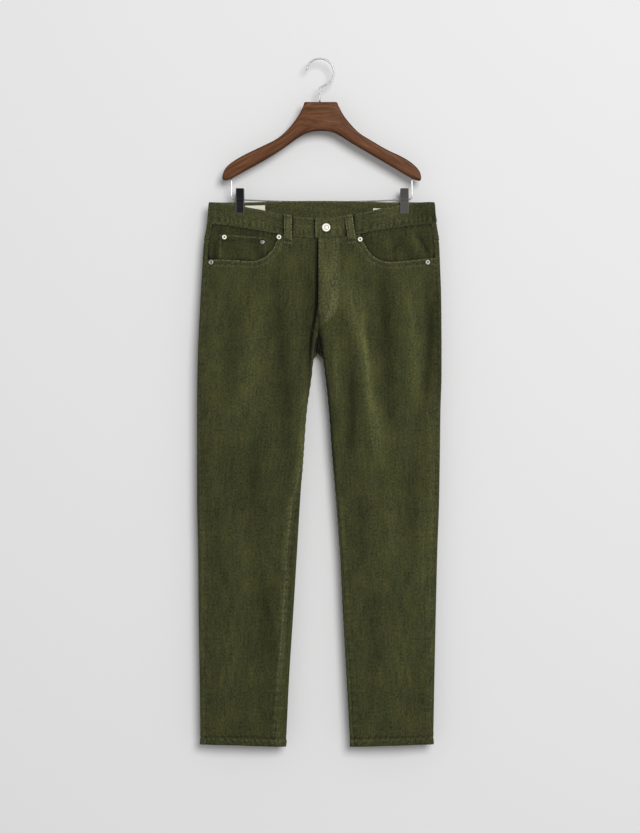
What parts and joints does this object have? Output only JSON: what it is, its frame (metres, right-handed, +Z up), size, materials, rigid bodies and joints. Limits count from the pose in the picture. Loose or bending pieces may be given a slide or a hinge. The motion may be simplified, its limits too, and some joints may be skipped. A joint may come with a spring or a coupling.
{
  "type": "corduroy trousers on a hanger",
  "caption": "Straight-leg corduroy trousers in jeans cut, clipped flat by the waistband to a wooden hanger with a wire hook.",
  "frame": {"origin": "hook seat: the underside of the top of the hanger's hook, where a rail or nail carries it", "axes": "+Z up, -Y towards the front of the trousers, +X towards the wearer's left leg; the hanger lies in the plane y = 0"},
  "size_m": [0.4791, 0.0595, 1.3498],
  "materials": {
    "corduroy": "fine-wale olive cotton corduroy, soft sheen",
    "metal": "nickel plate",
    "label": "plain woven, blank",
    "wood": "walnut stain under satin lacquer",
    "clip": "dark nickel plate",
    "tape": "woven zip tape",
    "brass": "dull"
  },
  "bodies": {
    "root": {"back_panel_left": "corduroy", "back_panel_right": "corduroy", "back_pocket_left": "corduroy", "back_pocket_right": "corduroy", "back_yoke_left": "corduroy", "back_yoke_right": "corduroy", "belt_loop_back": "corduroy", "belt_loop_front_left": "corduroy", "belt_loop_front_right": "corduroy", "belt_loop_side_left": "corduroy", "belt_loop_side_right": "corduroy", "clip_left_back": "clip", "clip_left_front": "clip", "clip_left_spring": "metal", "clip_right_back": "clip", "clip_right_front": "clip", "clip_right_spring": "metal", "coin_pocket": "corduroy", "fly_shield": "corduroy", "front_panel_left": "corduroy", "front_panel_right": "corduroy", "hanger_bar": "metal", "hanger_body": "wood", "hanger_hook": "metal", "label_left": "label", "label_right": "label", "pocket_facing_left": "corduroy", "pocket_facing_right": "corduroy", "rivet_coin_inner": "metal", "rivet_coin_outer": "metal", "rivet_mouth_left_inner": "metal", "rivet_mouth_left_outer": "metal", "rivet_mouth_right_inner": "metal", "rivet_mouth_right_outer": "metal", "waist_button": "metal", "waistband": "corduroy", "zip_slider": "brass", "zip_tape": "tape", "zip_teeth": "brass"}
  },
  "joints": []
}
